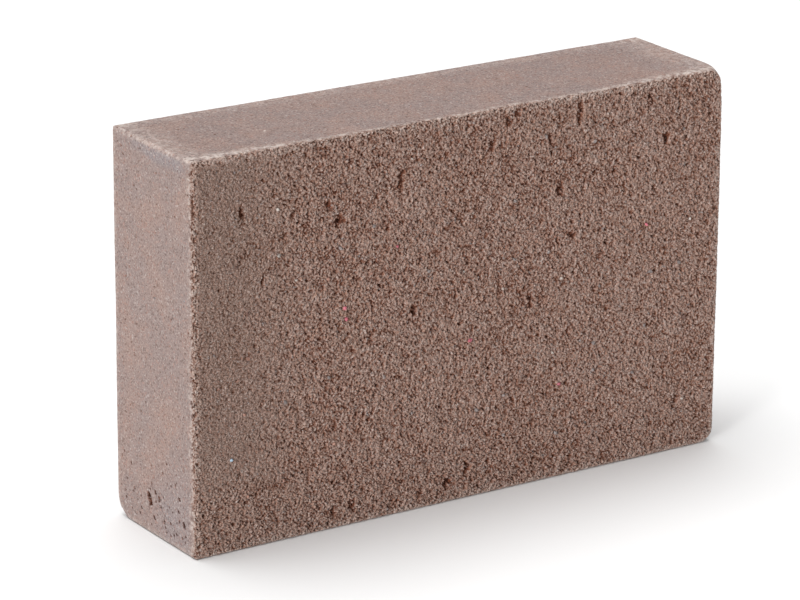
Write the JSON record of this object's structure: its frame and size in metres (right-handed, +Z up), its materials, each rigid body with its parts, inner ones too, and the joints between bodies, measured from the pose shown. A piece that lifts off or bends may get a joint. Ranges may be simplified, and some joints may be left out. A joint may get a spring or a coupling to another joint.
{
  "type": "abrasive cleaning block",
  "caption": "Hand-held abrasive block of grit-filled rubber with smooth cast sides and a rough, open-grained working face for rubbing surfaces clean.",
  "frame": {"origin": "middle of the base, the long narrow side that the block stands on", "axes": "+X along the length to the right, +Y through the thickness from the rough working face to the back, +Z up"},
  "size_m": [0.08, 0.0192, 0.0512],
  "materials": {
    "block": "matt, dusty, grit-filled",
    "grey_grain": "matt, fractured",
    "dark_grain": "satin, fractured",
    "clear_grain": "glossy, glassy",
    "rust_grain": "matt, fractured",
    "red_fleck": "matt",
    "blue_fleck": "matt"
  },
  "bodies": {
    "root": {"bonded_block": "block", "grey_grit": "grey_grain", "dark_grit": "dark_grain", "clear_grit": "clear_grain", "rust_grit": "rust_grain", "red_flecks": "red_fleck", "blue_flecks": "blue_fleck"}
  },
  "joints": []
}
